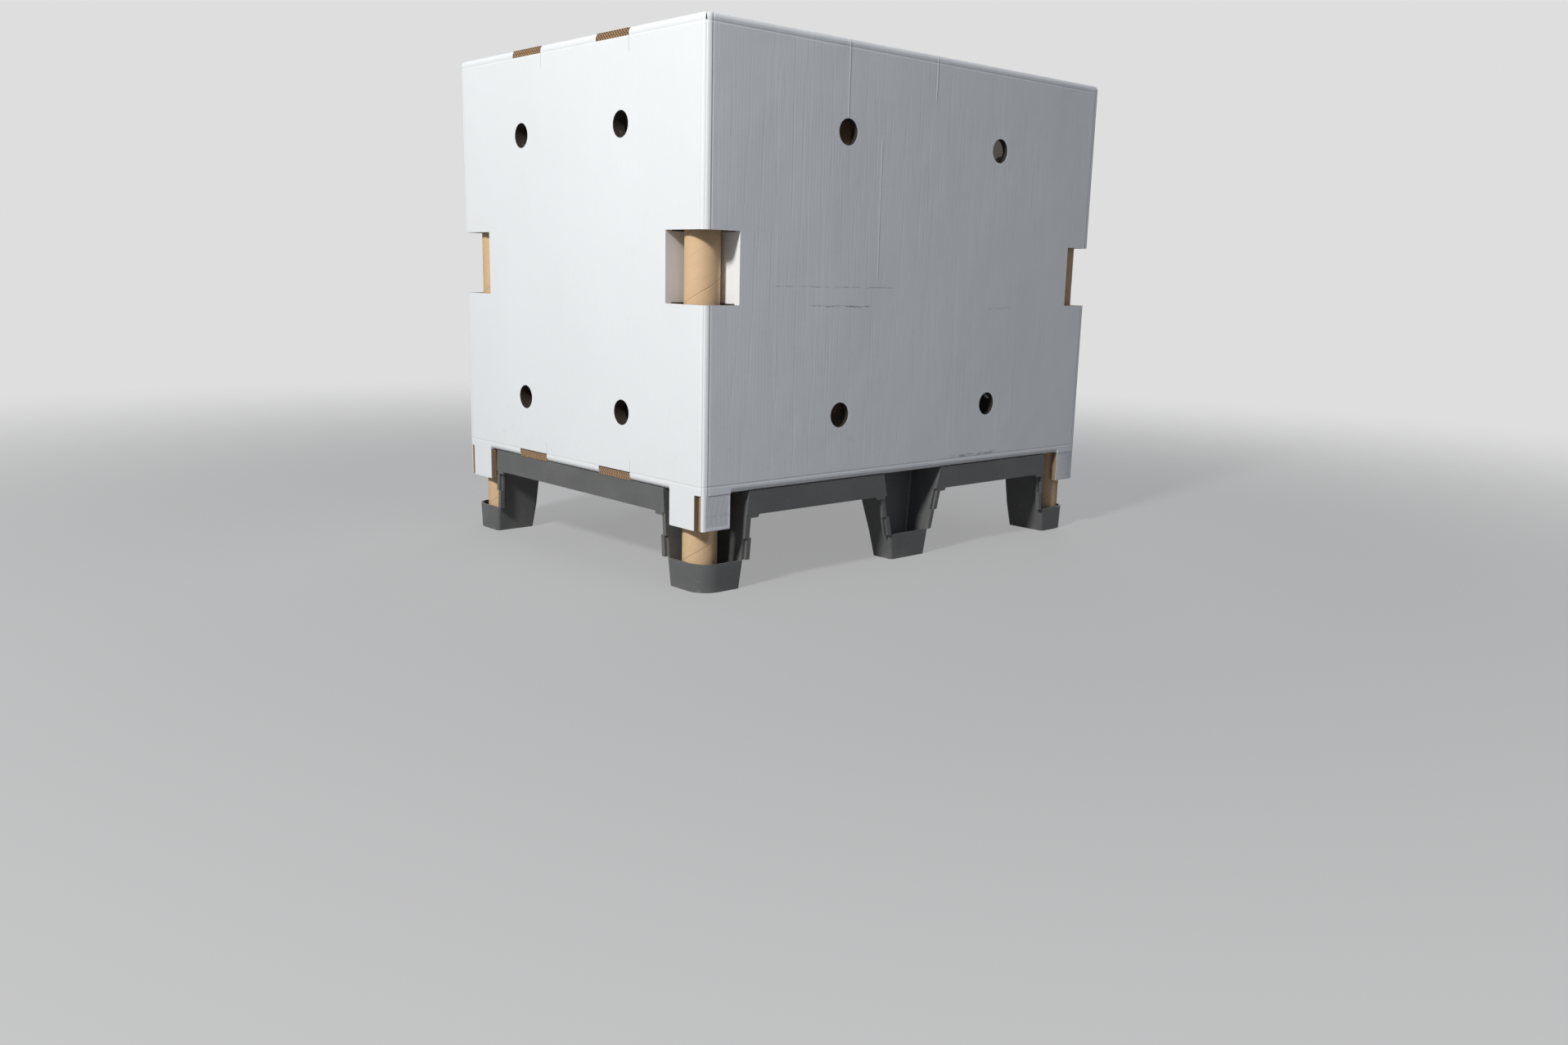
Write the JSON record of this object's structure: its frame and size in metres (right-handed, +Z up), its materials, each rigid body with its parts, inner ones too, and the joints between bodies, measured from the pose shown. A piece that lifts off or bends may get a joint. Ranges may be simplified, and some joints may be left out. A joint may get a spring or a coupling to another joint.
{
  "type": "bulk pallet box",
  "caption": "Vented corrugated sleeve with a folded ledge and paper corner tubes, standing on a nestable plastic pallet with cup feet.",
  "frame": {"origin": "on the ground under the middle of the pallet", "axes": "+Z up, +X along the long side, +Y along the short side"},
  "size_m": [1.2, 0.9, 1.07],
  "materials": {
    "pallet_plastic": "matte, fine grain",
    "white_board": "white coated corrugated board, matte",
    "kraft_board": "brown corrugated board, matte",
    "tube_paper": "spiral-wound brown paper, matte",
    "tape": "clear tape over white board"
  },
  "bodies": {
    "root": {"pallet": "pallet_plastic", "sleeve_end_1": "white_board", "sleeve_end_2": "white_board", "sleeve_side_1": "white_board", "sleeve_side_2": "white_board", "ledge_end_1": "white_board", "ledge_end_2": "white_board", "ledge_side_1": "white_board", "ledge_side_2": "white_board", "floor_end_1": "white_board", "floor_end_2": "white_board", "floor_side_1": "white_board", "floor_side_2": "white_board", "leg_tape": "tape", "end_liner_1": "kraft_board", "end_liner_2": "kraft_board", "corner_tube_1": "tube_paper", "corner_tube_2": "tube_paper", "corner_tube_3": "tube_paper", "corner_tube_4": "tube_paper"}
  },
  "joints": []
}
